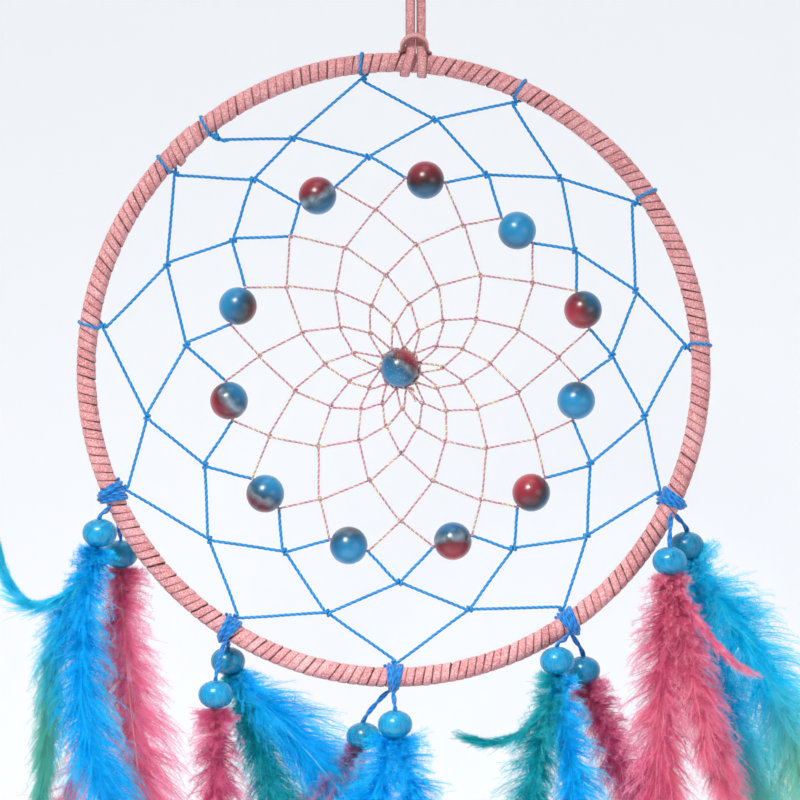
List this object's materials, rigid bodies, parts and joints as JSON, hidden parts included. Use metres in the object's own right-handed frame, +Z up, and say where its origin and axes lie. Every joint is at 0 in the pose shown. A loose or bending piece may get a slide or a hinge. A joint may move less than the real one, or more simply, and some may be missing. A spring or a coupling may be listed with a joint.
{
  "type": "dream catcher",
  "caption": "Round hoop wrapped in suede lace, with a knotted cord web, glass beads and pairs of feather drops on yarn, hung from a lace loop.",
  "frame": {"origin": "top of the inside of the hanging loop, where the hook or nail bears", "axes": "+Z up, the front of the web faces -Y, +X to the viewer's right; hangs in the XZ plane"},
  "size_m": [0.2488, 0.0268, 0.4325],
  "materials": {
    "steel": "satin",
    "suede": "matte",
    "waxed_cord": "satin",
    "spun_thread": "matte",
    "bead_glass": "gloss",
    "yarn": "matte",
    "painted_wood": "satin",
    "feather_blue": "matte",
    "feather_teal": "matte",
    "feather_pink": "matte",
    "feather_crimson": "matte",
    "feather_mauve": "matte"
  },
  "bodies": {
    "hanger": {"hanger_loop": "suede", "hanger_knot": "suede"},
    "hoop": {"hoop_ring": "steel", "suede_wrap": "suede", "lace_overlap": "suede", "hanger_hitch": "suede", "web_cord": "waxed_cord", "web_thread": "spun_thread", "web_start_knot": "waxed_cord", "centre_bead": "bead_glass", "centre_knot": "spun_thread", "web_bead_1": "bead_glass", "web_bead_2": "bead_glass", "web_bead_3": "bead_glass", "web_bead_4": "bead_glass", "web_bead_5": "bead_glass", "web_bead_6": "bead_glass", "web_bead_7": "bead_glass", "web_bead_8": "bead_glass", "web_bead_9": "bead_glass", "web_bead_10": "bead_glass", "web_bead_11": "bead_glass", "tie_wrap_1": "yarn", "tie_wrap_2": "yarn", "tie_wrap_3": "yarn", "tie_wrap_4": "yarn", "tie_wrap_5": "yarn"},
    "string_1a": {"string_1a": "yarn"},
    "drop_1a": {"drop_bead_1a": "painted_wood", "feathers_1a": "feather_blue"},
    "string_1b": {"string_1b": "yarn"},
    "drop_1b": {"drop_bead_1b": "painted_wood", "feathers_1b": "feather_pink"},
    "string_2a": {"string_2a": "yarn"},
    "drop_2a": {"drop_bead_2a": "painted_wood", "feathers_2a": "feather_crimson"},
    "string_2b": {"string_2b": "yarn"},
    "drop_2b": {"drop_bead_2b": "painted_wood", "feathers_2b": "feather_blue"},
    "string_3a": {"string_3a": "yarn"},
    "drop_3a": {"drop_bead_3a": "painted_wood", "feathers_3a": "feather_blue"},
    "string_3b": {"string_3b": "yarn"},
    "drop_3b": {"drop_bead_3b": "painted_wood", "feathers_3b": "feather_mauve"},
    "string_4a": {"string_4a": "yarn"},
    "drop_4a": {"drop_bead_4a": "painted_wood", "feathers_4a": "feather_teal"},
    "string_4b": {"string_4b": "yarn"},
    "drop_4b": {"drop_bead_4b": "painted_wood", "feathers_4b": "feather_crimson"},
    "string_5a": {"string_5a": "yarn"},
    "drop_5a": {"drop_bead_5a": "painted_wood", "feathers_5a": "feather_pink"},
    "string_5b": {"string_5b": "yarn"},
    "drop_5b": {"drop_bead_5b": "painted_wood", "feathers_5b": "feather_blue"}
  },
  "joints": [
    {"name": "hoop_twist", "type": "hinge", "parent": "hanger", "child": "hoop", "pos_m": [0, 0, -0.0852], "axis": [0, 0, 1], "range_deg": [-120, 120]},
    {"name": "swing_1a", "type": "hinge", "parent": "hoop", "child": "string_1a", "pos_m": [-0.09589, 0, -0.23093], "axis": [0, 1, 0], "range_deg": [-10, 25]},
    {"name": "sway_1a", "type": "hinge", "parent": "string_1a", "child": "drop_1a", "pos_m": [-0.09939, -0.008, -0.23908], "axis": [1, 0, 0], "range_deg": [-30, 4]},
    {"name": "swing_1b", "type": "hinge", "parent": "hoop", "child": "string_1b", "pos_m": [-0.09589, 0, -0.23093], "axis": [0, 1, 0], "range_deg": [-8, 25]},
    {"name": "sway_1b", "type": "hinge", "parent": "string_1b", "child": "drop_1b", "pos_m": [-0.09339, 0.008, -0.24608], "axis": [1, 0, 0], "range_deg": [-4, 30]},
    {"name": "swing_2a", "type": "hinge", "parent": "hoop", "child": "string_2a", "pos_m": [-0.0594, 0, -0.27373], "axis": [0, 1, 0], "range_deg": [-14, 14]},
    {"name": "sway_2a", "type": "hinge", "parent": "string_2a", "child": "drop_2a", "pos_m": [-0.0629, -0.008, -0.28988], "axis": [1, 0, 0], "range_deg": [-30, 4]},
    {"name": "swing_2b", "type": "hinge", "parent": "hoop", "child": "string_2b", "pos_m": [-0.0594, 0, -0.27373], "axis": [0, 1, 0], "range_deg": [-5, 14]},
    {"name": "sway_2b", "type": "hinge", "parent": "string_2b", "child": "drop_2b", "pos_m": [-0.0594, 0.008, -0.27988], "axis": [1, 0, 0], "range_deg": [-4, 30]},
    {"name": "swing_3a", "type": "hinge", "parent": "hoop", "child": "string_3a", "pos_m": [-0.007, 0, -0.2891], "axis": [0, 1, 0], "range_deg": [-15, 15]},
    {"name": "sway_3a", "type": "hinge", "parent": "string_3a", "child": "drop_3a", "pos_m": [-0.0065, -0.008, -0.29925], "axis": [1, 0, 0], "range_deg": [-30, 4]},
    {"name": "swing_3b", "type": "hinge", "parent": "hoop", "child": "string_3b", "pos_m": [-0.007, 0, -0.2891], "axis": [0, 1, 0], "range_deg": [-15, 8]},
    {"name": "sway_3b", "type": "hinge", "parent": "string_3b", "child": "drop_3b", "pos_m": [-0.0165, 0.008, -0.30375], "axis": [1, 0, 0], "range_deg": [-4, 30]},
    {"name": "swing_4a", "type": "hinge", "parent": "hoop", "child": "string_4a", "pos_m": [0.0485, 0, -0.27165], "axis": [0, 1, 0], "range_deg": [-14, 14]},
    {"name": "sway_4a", "type": "hinge", "parent": "string_4a", "child": "drop_4a", "pos_m": [0.0445, -0.008, -0.2793], "axis": [1, 0, 0], "range_deg": [-30, 4]},
    {"name": "swing_4b", "type": "hinge", "parent": "hoop", "child": "string_4b", "pos_m": [0.0485, 0, -0.27165], "axis": [0, 1, 0], "range_deg": [-12, 14]},
    {"name": "sway_4b", "type": "hinge", "parent": "string_4b", "child": "drop_4b", "pos_m": [0.053, 0.008, -0.2828], "axis": [1, 0, 0], "range_deg": [-4, 30]},
    {"name": "swing_5a", "type": "hinge", "parent": "hoop", "child": "string_5a", "pos_m": [0.08084, 0, -0.23325], "axis": [0, 1, 0], "range_deg": [-25, 10]},
    {"name": "sway_5a", "type": "hinge", "parent": "string_5a", "child": "drop_5a", "pos_m": [0.07984, -0.008, -0.2479], "axis": [1, 0, 0], "range_deg": [-30, 4]},
    {"name": "swing_5b", "type": "hinge", "parent": "hoop", "child": "string_5b", "pos_m": [0.08084, 0, -0.23325], "axis": [0, 1, 0], "range_deg": [-25, 8]},
    {"name": "sway_5b", "type": "hinge", "parent": "string_5b", "child": "drop_5b", "pos_m": [0.08584, 0.008, -0.2434], "axis": [1, 0, 0], "range_deg": [-4, 30]}
  ]
}
